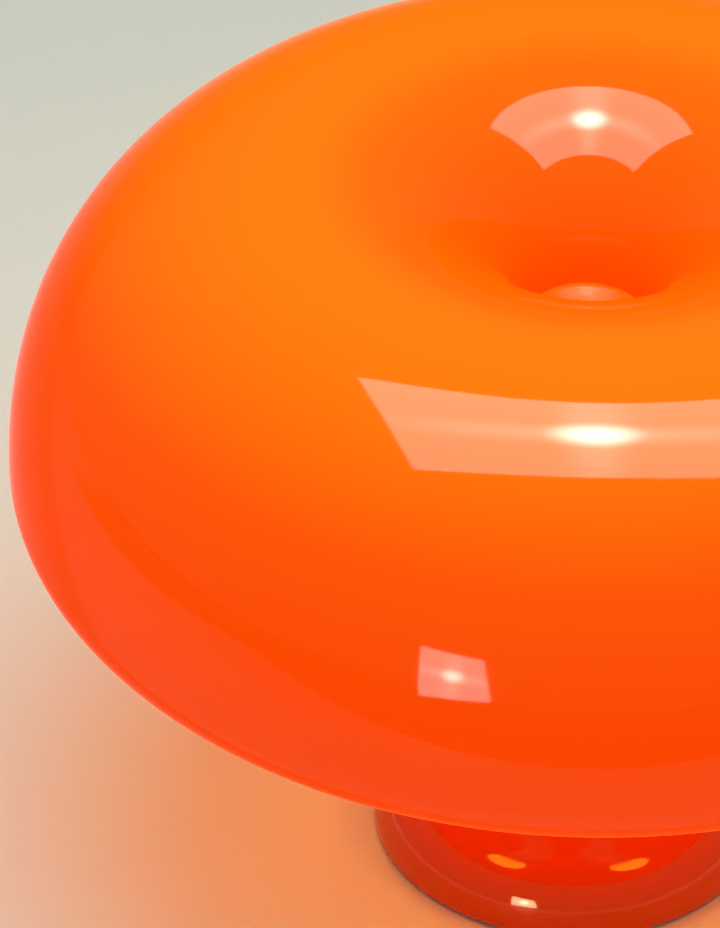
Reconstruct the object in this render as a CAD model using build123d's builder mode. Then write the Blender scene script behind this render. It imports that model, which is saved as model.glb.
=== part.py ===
from build123d import *
from math import acos, asin, cos, degrees, hypot, radians, sin, sqrt, tan
import os

# Low mushroom lamp: a wide moulded shade with a funnel in its middle, clamped by a round knob
# onto a threaded tube that rises through a trumpet foot. Four small globe bulbs stand out
# around the tube, under the shade.
# Millimetres, +Z up. The origin is on the floor, on the axis of the lamp.

# ---------------------------------------------------------------- driving dimensions

# Shade: a dome whose section is made of rounded quarters that meet at the equator and the crown
shade_radius = 160.0
shade_wall = 2.5
equator_height = 133.0
crown_radius = 77.3
dome_height = 90.0
crown_power = 2.08
rim_radius = 138.0
rim_drop = 19.5
rim_power = 2.0
rim_end_angle = 74.0
funnel_depth = 42.5
funnel_power = 1.78
throat_radius = 19.0
throat_length = 15.5
throat_corner = 2.0

# Foot: a trumpet with a thick rounded edge
foot_radius = 56.5
foot_wall = 3.0
foot_edge_radius = 18.0
foot_edge_height = 4.0
foot_edge_turn = 72.0
foot_lift = 1.0
foot_rim_fillet = 1.3
waist_radius = 18.0
stem_height = 118.0
stem_flare_radius = 330.0

# Under the foot
pad_radius = 6.0
pad_height = 2.0
pad_circle = 44.0
plate_thickness = 1.5
plate_gap = 0.4
plate_screw_circle = 42.0
plate_screw_length = 8.0
boss_radius = 4.0
ballast_thickness = 9.5
ballast_gap = 0.6
lead_channel = 6.0
web_thickness = 3.0
web_hub_radius = 8.0

# Threaded tube and what is stacked on it
tube_radius = 5.0
tube_bore = 3.9
tube_reach = 5.5
thread_clearance = 0.05
slip_clearance = 0.6
nut_across_flats = 14.0
nut_thickness = 4.0
lock_washer_radius = 9.0
lock_washer_thickness = 1.0
seat_radius = 16.0
seat_flange = 2.0
seat_sleeve_radius = 7.5

# Knob: a round button with a raised rim and a shallow dish on top
knob_gap = 2.0
knob_washer_radius = 14.0
knob_washer_thickness = 1.0
knob_floor = 9.0
knob_dish_flat = 3.0
knob_dish_radius = 20.0
knob_dish_turn = 32.0
knob_wall = 2.4
knob_groove_depth = 6.0
insert_radius = 8.0
insert_length = 7.0
insert_roof = 0.5

# Lamp holders and bulbs, drawn along the radius that each one lies on
bulb_count = 4
bulb_rise = 19.5
bracket_sheet = 1.5
bracket_radius = 23.0
tab_distance = 25.5
tab_width = 22.0
tab_height = 13.0
tab_corner = 5.0
holder_radius = 12.0
holder_length = 34.0
holder_back = 13.5
holder_collar = 1.0
holder_collar_length = 3.0
shell_wall = 0.6
shell_setback = 3.5
shell_length = 16.0
cap_radius = 6.9
cap_length = 19.0
cap_wall = 0.5
cap_clearance = 0.35
cap_reach = 18.5
cap_nose_radius = 2.4
cap_nose_length = 3.5
cap_thread_pitch = 2.8
cap_thread_turns = 4
cap_thread_depth = 0.4
glass_tuck = 4.0
globe_radius = 22.5
bulb_length = 74.0
glass_wall = 0.8
neck_fillet = 13.0
contact_radius = 3.2
contact_gap = 0.3
contact_pin_radius = 1.6
contact_pin_length = 6.0

# Screws
screw_radius = 1.45
screw_head_radius = 2.7
screw_head_height = 1.5
screw_clearance = 0.05
screw_slot_width = 0.7
screw_slot_depth = 0.7
holder_screw_offset = 7.5
holder_screw_length = 8.0

# Wiring
lead_radius = 1.6
lead_circle = 12.0
lead_drop = 8.0
lead_clearance = 0.6
lead_room = 1.2
lead_bend_room = 10.0
block_pitch = 8.0
block_shift = 4.0
block_depth = 11.0
block_height = 9.0
block_distance = 23.5
block_gap = 1.0
terminal_screw_radius = 2.0
terminal_screw_length = 3.0
inlet_height = 9.0
inlet_bore = 3.25
grommet_wall = 1.3
grommet_flange = 2.0
grommet_flange_thickness = 1.5
grommet_seat = 53.6
grommet_length = 10.0
grommet_ridge = 0.5

# ---------------------------------------------------------------- derived heights and places

crown_height = equator_height + dome_height
throat_height = crown_height - funnel_depth
seat_top = throat_height - throat_length
seat_under = seat_top - shade_wall

plate_top = pad_height + plate_thickness
ballast_top = plate_top + ballast_thickness
web_under = ballast_top + lead_channel
web_top = web_under + web_thickness
bracket_top = stem_height + bracket_sheet
bulb_axis_height = bracket_top + bulb_rise

thread_bore = tube_radius + thread_clearance
seat_hole = tube_radius + slip_clearance
bottom_nut_base = plate_top + slip_clearance
bottom_washer_base = bottom_nut_base + nut_thickness
ballast_ledge = bottom_washer_base + lock_washer_thickness
top_nut_base = bracket_top + lock_washer_thickness
sleeve_base = top_nut_base + nut_thickness
knob_washer_top = seat_top + knob_washer_thickness
tube_top = knob_washer_top + tube_reach

knob_radius = throat_radius - knob_gap
cap_bore = cap_radius + cap_clearance
holder_start = tab_distance + bracket_sheet
holder_end = holder_start + holder_length
cap_tip = holder_end - cap_reach
cap_end = cap_tip + cap_length
cap_inside = cap_radius - cap_thread_depth - cap_wall
neck_radius = cap_inside - thread_clearance
globe_centre = cap_tip + bulb_length - globe_radius
tapped_radius = screw_radius + screw_clearance
lead_hole = lead_radius + lead_clearance
lead_height = ballast_top + lead_channel / 2
bulb_angles = [-90, 0, 90, 180]

os.makedirs("parts", exist_ok=True)


def save(builder, label):
    """Label a finished piece and write it under the same name."""
    builder.part.label = label
    export_step(builder.part, f"parts/{label}.step")


# ---------------------------------------------------------------- shade


def quarter_point(angle, half_width, half_height, power, inset):
    """Point of a rounded quarter round its own centre, moved inwards along the normal."""
    across = half_width * cos(angle) ** (2 / power)
    up = half_height * sin(angle) ** (2 / power)
    normal_across = across ** (power - 1) / half_width**power
    normal_up = up ** (power - 1) / half_height**power
    length = hypot(normal_across, normal_up)
    return across - inset * normal_across / length, up - inset * normal_up / length


def quarter_line(centre, half_width, half_height, power, inset, end_angle, flip_across, flip_up):
    """Smooth curve of a rounded quarter from its side towards its top or bottom."""
    steps = 8
    points = []
    for step in range(steps + 1):
        angle = radians(end_angle) * step / steps
        across, up = quarter_point(angle, half_width, half_height, power, inset)
        points.append((centre[0] + flip_across * across, centre[1] + flip_up * up))
    return points


def shade_lines(inset):
    """Dome, rim and funnel curves of the shade's section, on one of its two faces."""
    dome = quarter_line(
        (crown_radius, equator_height),
        shade_radius - crown_radius,
        dome_height,
        crown_power,
        inset,
        90,
        1,
        1,
    )
    rim = quarter_line(
        (rim_radius, equator_height),
        shade_radius - rim_radius,
        rim_drop,
        rim_power,
        inset,
        rim_end_angle,
        1,
        -1,
    )
    funnel = quarter_line(
        (crown_radius, throat_height),
        crown_radius - throat_radius,
        funnel_depth,
        funnel_power,
        inset,
        90,
        -1,
        1,
    )
    return dome, rim, funnel


outer_dome, outer_rim, outer_funnel = shade_lines(0)
inner_dome, inner_rim, inner_funnel = shade_lines(shade_wall)

with BuildPart() as shade:
    with BuildSketch(Plane.XZ) as shade_section:
        with BuildLine():
            Spline(*outer_rim)
            Spline(*outer_dome, tangents=[(0, 1), (-1, 0)])
            Spline(*outer_funnel, tangents=[(0, 1), (1, 0)])
            Line(outer_funnel[0], (throat_radius, seat_top))
            Line((throat_radius, seat_top), (seat_hole, seat_top))
            Line((seat_hole, seat_top), (seat_hole, seat_under))
            Line((seat_hole, seat_under), (throat_radius + shade_wall, seat_under))
            Line((throat_radius + shade_wall, seat_under), inner_funnel[0])
            Spline(*inner_funnel, tangents=[(0, 1), (1, 0)])
            Spline(*inner_dome, tangents=[(0, 1), (-1, 0)])
            Spline(*inner_rim)
            Line(inner_rim[-1], outer_rim[-1])
        make_face()
        corners = shade_section.vertices()
        fillet(corners.sort_by_distance((throat_radius, seat_top))[0], throat_corner)
        fillet(corners.sort_by_distance((throat_radius + shade_wall, seat_under))[0], throat_corner)
        fillet(corners.sort_by_distance(inner_rim[-1])[0], shade_wall * 0.4)
        fillet(corners.sort_by_distance(outer_rim[-1])[0], shade_wall * 0.4)
    revolve(axis=Axis.Z)
save(shade, "shade")

# ---------------------------------------------------------------- foot


def foot_solid(inset, low, high):
    """Round solid inside the foot's side curve moved inwards, cut between two heights."""
    edge_centre = foot_radius - foot_edge_radius
    turn = radians(foot_edge_turn)
    neck_curve = (edge_centre + foot_edge_radius * cos(turn) - waist_radius) / (1 - cos(turn))
    start = (edge_centre + foot_edge_radius - inset, foot_edge_height)
    with BuildPart() as body:
        with BuildSketch(Plane.XZ):
            with BuildLine():
                edge = JernArc(start, (0, 1), foot_edge_radius - inset, foot_edge_turn)
                neck = JernArc(edge @ 1, edge % 1, neck_curve + inset, -foot_edge_turn)
                stem_radius = stem_flare_radius + inset
                flare = degrees(asin((stem_height - (neck @ 1).Y) / stem_radius))
                stem = JernArc(neck @ 1, neck % 1, stem_radius, -flare)
                top = Line(stem @ 1, (0, (stem @ 1).Y))
                Polyline(top @ 1, (0, 0), (start[0], 0), start)
            make_face()
        revolve(axis=Axis.Z)
        with BuildSketch(Plane.XY.offset(low)):
            Circle(2 * foot_radius)
        extrude(amount=high - low, mode=Mode.INTERSECT)
    return body.part


def foot_inside_radius(height):
    """Radius of the foot's inner wall at a height on its rounded edge."""
    rise = height - foot_edge_height
    return foot_radius - foot_edge_radius + sqrt((foot_edge_radius - foot_wall) ** 2 - rise**2)


foot_body = foot_solid(0, foot_lift, stem_height)
foot_lower_hollow = foot_solid(foot_wall, 0, web_under)
foot_stem_hollow = foot_solid(foot_wall, web_top, stem_height)
plate_screw_places = [
    (plate_screw_circle * cos(radians(angle)), plate_screw_circle * sin(radians(angle)))
    for angle in (45, 135, 225, 315)
]
block_centre = (block_shift, block_distance + block_depth / 2)
block_screw_places = [
    (block_centre[0] - block_pitch, block_centre[1]),
    (block_centre[0] + block_pitch, block_centre[1]),
]
inlet_plane = Plane((0, grommet_seat, inlet_height), x_dir=(1, 0, 0), z_dir=(0, 1, 0))

with BuildPart() as foot_hollow:
    add(foot_lower_hollow)
    with BuildSketch(Plane.XY.offset(plate_top)):
        with Locations(*plate_screw_places):
            Circle(boss_radius)
    extrude(amount=web_under - plate_top, mode=Mode.SUBTRACT)
    with BuildSketch(Plane.XY.offset(ballast_top)):
        Circle(web_hub_radius)
    extrude(amount=lead_channel, mode=Mode.SUBTRACT)

with BuildPart() as foot:
    add(foot_body)
    fillet(foot.edges().filter_by(GeomType.CIRCLE).group_by(Axis.Z)[0], foot_rim_fillet)
    add(foot_hollow.part, mode=Mode.SUBTRACT)
    add(foot_stem_hollow, mode=Mode.SUBTRACT)
    with BuildSketch(Plane.XY.offset(plate_top)):
        with Locations(*plate_screw_places):
            Circle(tapped_radius)
    extrude(amount=plate_screw_length + slip_clearance, mode=Mode.SUBTRACT)
    with BuildSketch(Plane.XY.offset(web_under)):
        with Locations(*block_screw_places):
            Circle(tapped_radius)
        with PolarLocations(lead_circle + lead_bend_room / 2, bulb_count):
            SlotCenterToCenter(lead_bend_room, 2 * (lead_radius + lead_room))
    extrude(amount=web_thickness, mode=Mode.SUBTRACT)
    with BuildSketch(Plane.XY.offset(ballast_top)):
        Circle(seat_hole)
    extrude(amount=web_top - ballast_top, mode=Mode.SUBTRACT)
    with BuildSketch(inlet_plane):
        Circle(inlet_bore + grommet_wall + grommet_flange + slip_clearance)
    extrude(amount=foot_radius - grommet_seat + foot_wall, mode=Mode.SUBTRACT)
    with BuildSketch(inlet_plane):
        Circle(inlet_bore + grommet_wall + thread_clearance)
    extrude(amount=-grommet_length, mode=Mode.SUBTRACT)
save(foot, "foot")

# ---------------------------------------------------------------- under the foot

with BuildPart() as bottom_plate:
    with BuildSketch(Plane.XY.offset(pad_height)):
        Circle(foot_inside_radius(pad_height) - plate_gap)
        with Locations(*plate_screw_places):
            Circle(tapped_radius, mode=Mode.SUBTRACT)
    extrude(amount=plate_thickness)
save(bottom_plate, "bottom_plate")

with BuildPart() as rubber_pads:
    with BuildSketch():
        with PolarLocations(pad_circle, bulb_count):
            Circle(pad_radius)
    extrude(amount=pad_height)
    fillet(rubber_pads.edges().group_by(Axis.Z)[0], pad_height / 4)
save(rubber_pads, "rubber_pads")

with BuildPart() as ballast:
    with BuildSketch(Plane.XY.offset(plate_top)):
        Circle(plate_screw_circle - boss_radius - ballast_gap)
    extrude(amount=ballast_thickness)
    chamfer(ballast.edges().group_by(Axis.Z)[-1], ballast_gap)
    with BuildSketch(Plane.XY.offset(plate_top)):
        Circle(thread_bore)
        with Locations((block_centre[0], block_distance - block_gap)):
            Rectangle(
                4 * block_pitch + 2 * block_gap, foot_radius, align=(Align.CENTER, Align.MIN)
            )
    extrude(amount=ballast_thickness, mode=Mode.SUBTRACT)
    with BuildSketch(Plane.XY.offset(plate_top)):
        Circle(lock_washer_radius + slip_clearance)
    extrude(amount=ballast_ledge - plate_top, mode=Mode.SUBTRACT)
save(ballast, "ballast")

# ---------------------------------------------------------------- screws


def slotted_screw(shank_length):
    """Screw along +Z with its round slotted head below the XY plane."""
    with BuildPart() as screw:
        with BuildSketch():
            Circle(screw_radius)
        extrude(amount=shank_length)
        with BuildSketch():
            Circle(screw_head_radius)
        extrude(amount=-screw_head_height)
        fillet(screw.edges().filter_by(GeomType.CIRCLE).group_by(Axis.Z)[0], screw_head_height / 3)
        with BuildSketch(Plane.XY.offset(-screw_head_height)):
            Rectangle(2 * screw_head_radius, screw_slot_width)
        extrude(amount=screw_slot_depth, mode=Mode.SUBTRACT)
    return screw.part


plate_screw = slotted_screw(plate_thickness + plate_screw_length)
with BuildPart() as plate_screws:
    with Locations(*[(x, y, pad_height) for x, y in plate_screw_places]):
        add(plate_screw)
save(plate_screws, "plate_screws")

block_screw = slotted_screw(block_height + web_thickness)
with BuildPart() as block_screws:
    with Locations(*[(x, y, web_under - block_height) for x, y in block_screw_places]):
        add(block_screw)
save(block_screws, "block_screws")

# ---------------------------------------------------------------- threaded tube and its stack

with BuildPart() as centre_tube:
    with BuildSketch(Plane.XY.offset(bottom_nut_base)):
        Circle(tube_radius)
        Circle(tube_bore, mode=Mode.SUBTRACT)
    extrude(amount=tube_top - bottom_nut_base)
    chamfer(centre_tube.edges().filter_by(GeomType.CIRCLE).group_by(Axis.Z)[-1], tube_bore / 10)
save(centre_tube, "centre_tube")


def hexagon_nut(base):
    """Nut on the tube with bevelled corners."""
    with BuildPart() as nut:
        with BuildSketch(Plane.XY.offset(base)):
            RegularPolygon(nut_across_flats / 2, 6, major_radius=False)
            Circle(thread_bore, mode=Mode.SUBTRACT)
        extrude(amount=nut_thickness)
        with BuildSketch(Plane.XZ):
            with BuildLine():
                corner = nut_across_flats / 2 / cos(radians(30))
                bevel = corner - nut_across_flats / 2
                top = base + nut_thickness
                Polyline(
                    (0, base),
                    (corner, base),
                    (corner, top - bevel / 2),
                    (corner - bevel, top),
                    (0, top),
                    close=True,
                )
            make_face()
        revolve(axis=Axis.Z, mode=Mode.INTERSECT)
    return nut


save(hexagon_nut(bottom_nut_base), "bottom_nut")
save(hexagon_nut(top_nut_base), "top_nut")

with BuildPart() as lock_washers:
    for washer_base in (bottom_washer_base, bracket_top):
        with BuildSketch(Plane.XY.offset(washer_base)):
            Circle(lock_washer_radius)
            Circle(thread_bore, mode=Mode.SUBTRACT)
        extrude(amount=lock_washer_thickness)
save(lock_washers, "lock_washers")

with BuildPart() as shade_seat:
    with BuildSketch(Plane.XY.offset(sleeve_base)):
        Circle(seat_sleeve_radius)
    extrude(amount=seat_under - sleeve_base)
    with BuildSketch(Plane.XY.offset(seat_under - seat_flange)):
        Circle(seat_radius)
    extrude(amount=seat_flange)
    flange_edges = shade_seat.edges().filter_by(GeomType.CIRCLE).group_by(Axis.Z)[1]
    fillet(flange_edges.sort_by(SortBy.LENGTH)[0], seat_flange)
    with BuildSketch(Plane.XY.offset(sleeve_base)):
        Circle(thread_bore)
    extrude(amount=seat_under - sleeve_base, mode=Mode.SUBTRACT)
save(shade_seat, "shade_seat")

# ---------------------------------------------------------------- knob

with BuildPart() as knob_washer:
    with BuildSketch(Plane.XY.offset(seat_top)):
        Circle(knob_washer_radius)
        Circle(seat_hole, mode=Mode.SUBTRACT)
    extrude(amount=knob_washer_thickness)
save(knob_washer, "knob_washer")

with BuildPart() as knob_insert:
    with BuildSketch(Plane.XY.offset(knob_washer_top)):
        Circle(insert_radius)
    extrude(amount=insert_length)
    with BuildSketch(Plane.XY.offset(knob_washer_top)):
        Circle(thread_bore)
    extrude(amount=insert_length - insert_roof, mode=Mode.SUBTRACT)
save(knob_insert, "knob_insert")

dish_turn = radians(knob_dish_turn)
dish_edge = knob_dish_flat + knob_dish_radius * sin(dish_turn)
knob_rim_radius = (knob_radius - dish_edge) / (1 + sin(dish_turn))
knob_top = knob_washer_top + knob_floor
pocket_radius = insert_radius + thread_clearance
pocket_top = knob_washer_top + insert_length + contact_gap
groove_top = knob_washer_top + knob_groove_depth

with BuildPart() as retaining_knob:
    with BuildSketch(Plane.XZ):
        with BuildLine():
            Line((0, knob_top), (knob_dish_flat, knob_top))
            dish = JernArc((knob_dish_flat, knob_top), (1, 0), knob_dish_radius, knob_dish_turn)
            rim = JernArc(dish @ 1, dish % 1, knob_rim_radius, -(90 + knob_dish_turn))
            Polyline(
                rim @ 1,
                (knob_radius, knob_washer_top),
                (knob_radius - knob_wall, knob_washer_top),
                (knob_radius - knob_wall, groove_top),
                (pocket_radius + knob_wall, groove_top),
                (pocket_radius + knob_wall, knob_washer_top),
                (pocket_radius, knob_washer_top),
                (pocket_radius, pocket_top),
                (0, pocket_top),
                (0, knob_top),
            )
        make_face()
    revolve(axis=Axis.Z)
save(retaining_knob, "retaining_knob")

# ---------------------------------------------------------------- bracket for the lamp holders


def upright_plane(angle, distance):
    """Plane square to a bulb's radius, with X across it, Y up and Z outwards."""
    across = (-sin(radians(angle)), cos(radians(angle)), 0)
    outwards = (cos(radians(angle)), sin(radians(angle)), 0)
    place = (distance * outwards[0], distance * outwards[1], bulb_axis_height)
    return Plane(place, x_dir=across, z_dir=outwards)


with BuildPart() as holder_bracket:
    with BuildSketch(Plane.XY.offset(stem_height)):
        Circle(bracket_radius)
        with PolarLocations(0, bulb_count):
            Rectangle(holder_start, tab_width, align=(Align.MIN, Align.CENTER))
        Circle(thread_bore, mode=Mode.SUBTRACT)
        with PolarLocations(lead_circle, bulb_count):
            Circle(lead_hole, mode=Mode.SUBTRACT)
    extrude(amount=bracket_sheet)
    for angle in bulb_angles:
        with BuildSketch(upright_plane(angle, tab_distance)) as tab:
            with Locations((0, stem_height - bulb_axis_height)):
                Rectangle(
                    tab_width,
                    bulb_axis_height + tab_height - stem_height,
                    align=(Align.CENTER, Align.MIN),
                )
            fillet(tab.vertices().group_by(Axis.Y)[-1], tab_corner)
            with Locations((holder_screw_offset, 0), (-holder_screw_offset, 0)):
                Circle(tapped_radius, mode=Mode.SUBTRACT)
            with Locations((0, -lead_drop)):
                Circle(lead_hole, mode=Mode.SUBTRACT)
        extrude(amount=bracket_sheet)
save(holder_bracket, "holder_bracket")

holder_screw = slotted_screw(bracket_sheet + holder_screw_length)
with BuildPart() as holder_screws:
    for angle in bulb_angles:
        with Locations(upright_plane(angle, tab_distance)):
            with Locations((holder_screw_offset, 0), (-holder_screw_offset, 0)):
                add(holder_screw)
save(holder_screws, "holder_screws")

# ---------------------------------------------------------------- lamp holders and bulbs


def radial_plane(angle):
    """Plane through a bulb's axis, with X along the bulb and Y up."""
    along = (cos(radians(angle)), sin(radians(angle)), 0)
    aside = (sin(radians(angle)), -cos(radians(angle)), 0)
    return Plane((0, 0, bulb_axis_height), x_dir=along, z_dir=aside)


def bulb_axis(angle):
    """Axis along a bulb, outwards."""
    return Axis((0, 0, bulb_axis_height), (cos(radians(angle)), sin(radians(angle)), 0))


shell_radius = cap_bore + shell_wall
bore_start = holder_start + holder_back
shell_start = bore_start + shell_setback


def lamp_holder(angle):
    """Moulded holder with its bore, pin hole and two screw holes in the back."""
    with BuildPart() as holder:
        with BuildSketch(radial_plane(angle)):
            with BuildLine():
                Polyline(
                    (holder_start, 0),
                    (holder_start, holder_radius),
                    (holder_end - holder_collar_length, holder_radius),
                    (holder_end - holder_collar_length, holder_radius + holder_collar),
                    (holder_end, holder_radius + holder_collar),
                    (holder_end, shell_radius + thread_clearance),
                    (bore_start, shell_radius + thread_clearance),
                    (bore_start, contact_pin_radius + thread_clearance),
                    (bore_start - contact_pin_length, contact_pin_radius + thread_clearance),
                    (bore_start - contact_pin_length, 0),
                    close=True,
                )
            make_face()
        revolve(axis=bulb_axis(angle))
        with BuildSketch(upright_plane(angle, holder_start)):
            with Locations((holder_screw_offset, 0), (-holder_screw_offset, 0)):
                Circle(tapped_radius)
        extrude(amount=holder_screw_length + slip_clearance, mode=Mode.SUBTRACT)
    return holder


def threaded_shell(angle):
    """Brass sleeve inside the holder that takes the bulb's cap."""
    with BuildPart() as sleeve:
        with BuildSketch(upright_plane(angle, shell_start)):
            Circle(shell_radius)
            Circle(cap_bore, mode=Mode.SUBTRACT)
        extrude(amount=shell_length)
    return sleeve


def centre_contact(angle):
    """Contact button with its pin, at the bottom of the holder's bore."""
    with BuildPart() as contact:
        with BuildSketch(upright_plane(angle, bore_start)):
            Circle(contact_radius)
        extrude(amount=cap_tip - contact_gap - bore_start)
        with BuildSketch(upright_plane(angle, bore_start)):
            Circle(contact_pin_radius)
        extrude(amount=-contact_pin_length)
    return contact


def bulb_cap(angle):
    """Screw cap of a bulb: a cup with a rounded thread and a narrow nose."""
    thread_start = cap_tip + cap_nose_length
    thread_end = thread_start + cap_thread_turns * cap_thread_pitch
    root_radius = cap_radius - cap_thread_depth
    with BuildPart() as cap:
        with BuildSketch(radial_plane(angle)):
            with BuildLine():
                Line((cap_tip, 0), (cap_tip, cap_nose_radius))
                Line((cap_tip, cap_nose_radius), (thread_start, root_radius))
                for turn in range(cap_thread_turns):
                    crest_start = thread_start + turn * cap_thread_pitch
                    ThreePointArc(
                        (crest_start, root_radius),
                        (crest_start + cap_thread_pitch / 2, cap_radius),
                        (crest_start + cap_thread_pitch, root_radius),
                    )
                Polyline(
                    (thread_end, root_radius),
                    (cap_end, root_radius),
                    (cap_end, cap_inside),
                    (thread_start + cap_wall, cap_inside),
                    (thread_start + cap_wall, 0),
                    (cap_tip, 0),
                )
            make_face()
        revolve(axis=bulb_axis(angle))
    return cap


def globe_curves(inset):
    """Neck and globe of a bulb's glass, moved inwards."""
    neck = neck_radius - inset
    bend = neck_fillet + inset
    globe = globe_radius - inset
    turn = degrees(acos((neck + bend) / (globe + bend)))
    bend_start = globe_centre - sqrt((globe + bend) ** 2 - (neck + bend) ** 2)
    lip = Line((cap_end - glass_tuck, neck), (bend_start, neck))
    flare = JernArc(lip @ 1, (1, 0), bend, turn)
    JernArc(flare @ 1, flare % 1, globe, -(90 + turn))


def bulb_glass(angle):
    """Thin glass globe, open at its neck."""
    tip = globe_centre + globe_radius
    neck_start = cap_end - glass_tuck
    with BuildPart() as glass:
        with BuildSketch(radial_plane(angle)):
            with BuildLine():
                globe_curves(0)
                globe_curves(glass_wall)
                Line((neck_start, neck_radius), (neck_start, neck_radius - glass_wall))
                Line((tip - glass_wall, 0), (tip, 0))
            make_face()
        revolve(axis=bulb_axis(angle))
    return glass


for number, angle in enumerate(bulb_angles, start=1):
    save(lamp_holder(angle), f"lamp_holder_{number}")
    save(threaded_shell(angle), f"holder_shell_{number}")
    save(centre_contact(angle), f"holder_contact_{number}")
    save(bulb_cap(angle), f"bulb_cap_{number}")
    save(bulb_glass(angle), f"bulb_glass_{number}")

# ---------------------------------------------------------------- wiring

with BuildPart() as terminal_block:
    with BuildSketch(Plane.XY.offset(web_under - block_height)):
        with Locations(block_centre):
            RectangleRounded(4 * block_pitch, block_depth, block_gap)
        with Locations(*block_screw_places):
            Circle(tapped_radius, mode=Mode.SUBTRACT)
    extrude(amount=block_height)
    with BuildSketch(Plane.XY.offset(web_under - block_height)):
        with Locations(block_centre):
            with GridLocations(block_pitch, block_depth / 2, 4, 2):
                Circle(terminal_screw_radius + screw_clearance)
    extrude(amount=terminal_screw_length, mode=Mode.SUBTRACT)
save(terminal_block, "terminal_block")

with BuildPart() as terminal_screws:
    with BuildSketch(Plane.XY.offset(web_under - block_height)):
        with Locations(block_centre):
            with GridLocations(block_pitch, block_depth / 2, 4, 2):
                Circle(terminal_screw_radius)
    extrude(amount=terminal_screw_length)
save(terminal_screws, "terminal_screws")


def bend_radii(points):
    """Radius at each inner point of a lead's route, as large as its two runs allow."""
    radii = []
    for before, here, after in zip(points, points[1:], points[2:]):
        come = Vector(here) - Vector(before)
        go = Vector(after) - Vector(here)
        half_turn = radians(come.get_angle(go) / 2)
        radii.append(0.45 * min(come.length, go.length) / tan(half_turn))
    return radii


def lead(angle, around, terminal):
    """Twin lead from a holder's back, down the stem and round to its terminal."""
    along = (cos(radians(angle)), sin(radians(angle)))
    exit_height = bulb_axis_height - lead_drop
    points = [
        (holder_start * along[0], holder_start * along[1], exit_height),
        (lead_circle * along[0], lead_circle * along[1], exit_height),
        (lead_circle * along[0], lead_circle * along[1], lead_height),
    ]
    points += [(x, y, lead_height) for x, y in around]
    terminal_across = block_centre[0] + terminal * block_pitch
    if around:
        points.append((terminal_across, block_distance - lead_drop, lead_height))
    points.append((terminal_across, block_distance, lead_height))
    with BuildPart() as cable:
        with BuildLine():
            route = FilletPolyline(*points, radius=bend_radii(points))
        with BuildSketch(Plane(route @ 0, z_dir=route % 0)):
            Circle(lead_radius)
        sweep()
    return cable


lead_end = lead_circle + lead_bend_room
lead_routes = [
    (-90, [(0, -lead_end), (19, -20), (29, -3), (27, 10)], 1.5),
    (0, [(lead_end, 0), (19, 9)], 0.5),
    (90, [], -0.5),
    (180, [(-lead_end, 0), (-19, 9)], -1.5),
]
for number, (angle, around, terminal) in enumerate(lead_routes, start=1):
    save(lead(angle, around, terminal), f"holder_lead_{number}")

# ---------------------------------------------------------------- cord inlet

grommet_radius = inlet_bore + grommet_wall
with BuildPart() as cord_grommet:
    with BuildSketch(inlet_plane):
        Circle(grommet_radius + grommet_flange)
    extrude(amount=grommet_flange_thickness)
    fillet(cord_grommet.edges().filter_by(GeomType.CIRCLE).group_by(Axis.Y)[-1], 0.5)
    with BuildSketch(inlet_plane):
        Circle(grommet_radius)
    extrude(amount=-grommet_length)
    with BuildSketch(inlet_plane.offset(-grommet_length)):
        Circle(grommet_radius + grommet_ridge)
    extrude(amount=grommet_flange_thickness)
    with BuildSketch(inlet_plane.offset(-grommet_length)):
        Circle(inlet_bore)
    extrude(amount=grommet_length + grommet_flange_thickness, mode=Mode.SUBTRACT)
save(cord_grommet, "cord_grommet")
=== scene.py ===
import bmesh
import bpy
from math import acos, cos, pi, radians, sin, sqrt
from mathutils import Matrix, Vector


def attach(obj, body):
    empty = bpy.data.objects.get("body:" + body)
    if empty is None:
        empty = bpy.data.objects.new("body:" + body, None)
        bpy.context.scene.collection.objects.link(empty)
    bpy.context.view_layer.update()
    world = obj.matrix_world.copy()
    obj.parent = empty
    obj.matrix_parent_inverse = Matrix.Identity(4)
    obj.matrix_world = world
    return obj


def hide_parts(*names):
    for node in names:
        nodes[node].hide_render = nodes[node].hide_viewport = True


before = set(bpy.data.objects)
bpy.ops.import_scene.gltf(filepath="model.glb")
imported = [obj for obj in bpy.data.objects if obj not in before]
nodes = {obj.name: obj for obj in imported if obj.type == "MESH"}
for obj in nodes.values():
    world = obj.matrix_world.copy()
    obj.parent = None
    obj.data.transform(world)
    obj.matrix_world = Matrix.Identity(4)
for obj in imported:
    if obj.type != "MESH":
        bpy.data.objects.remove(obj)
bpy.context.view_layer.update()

# ---------------------------------------------------------------- view
# The lamp is seen from well above and between two of its bulbs, through a long lens, so that the
# shade fills the picture and runs out of it at the right and at the top.
elevation = radians(36.35)
roll = radians(-0.79)
camera_place = (-0.0619, -1.3958, 1.1534)
view_turn = -45
level_right = Vector((1, 0, 0))
steep_up = Vector((0, sin(elevation), cos(elevation)))
right = level_right * cos(roll) - steep_up * sin(roll)
up = level_right * sin(roll) + steep_up * cos(roll)
lens = bpy.data.cameras.new("long_lens")
lens.sensor_width = 36
lens.lens = 240
camera = bpy.data.objects.new("camera", lens)
bpy.context.scene.collection.objects.link(camera)
turned = Matrix((right, up, right.cross(up))).transposed().to_4x4()
round_to_view = Matrix.Rotation(radians(view_turn), 4, "Z")
camera.matrix_world = round_to_view @ Matrix.Translation(camera_place) @ turned
bpy.context.scene.camera = camera
bpy.context.scene.view_settings.view_transform = "Standard"

# ---------------------------------------------------------------- table, room and light
# A pale table top, whose front and left edges are mirrored low on the shade, in a quiet room. A
# wide soft light hangs over the lamp. It and a small one low at the front left show in the gloss.


def linked(name, mesh):
    """New object for a mesh, in the scene."""
    thing = bpy.data.objects.new(name, mesh)
    bpy.context.scene.collection.objects.link(thing)
    return thing


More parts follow.
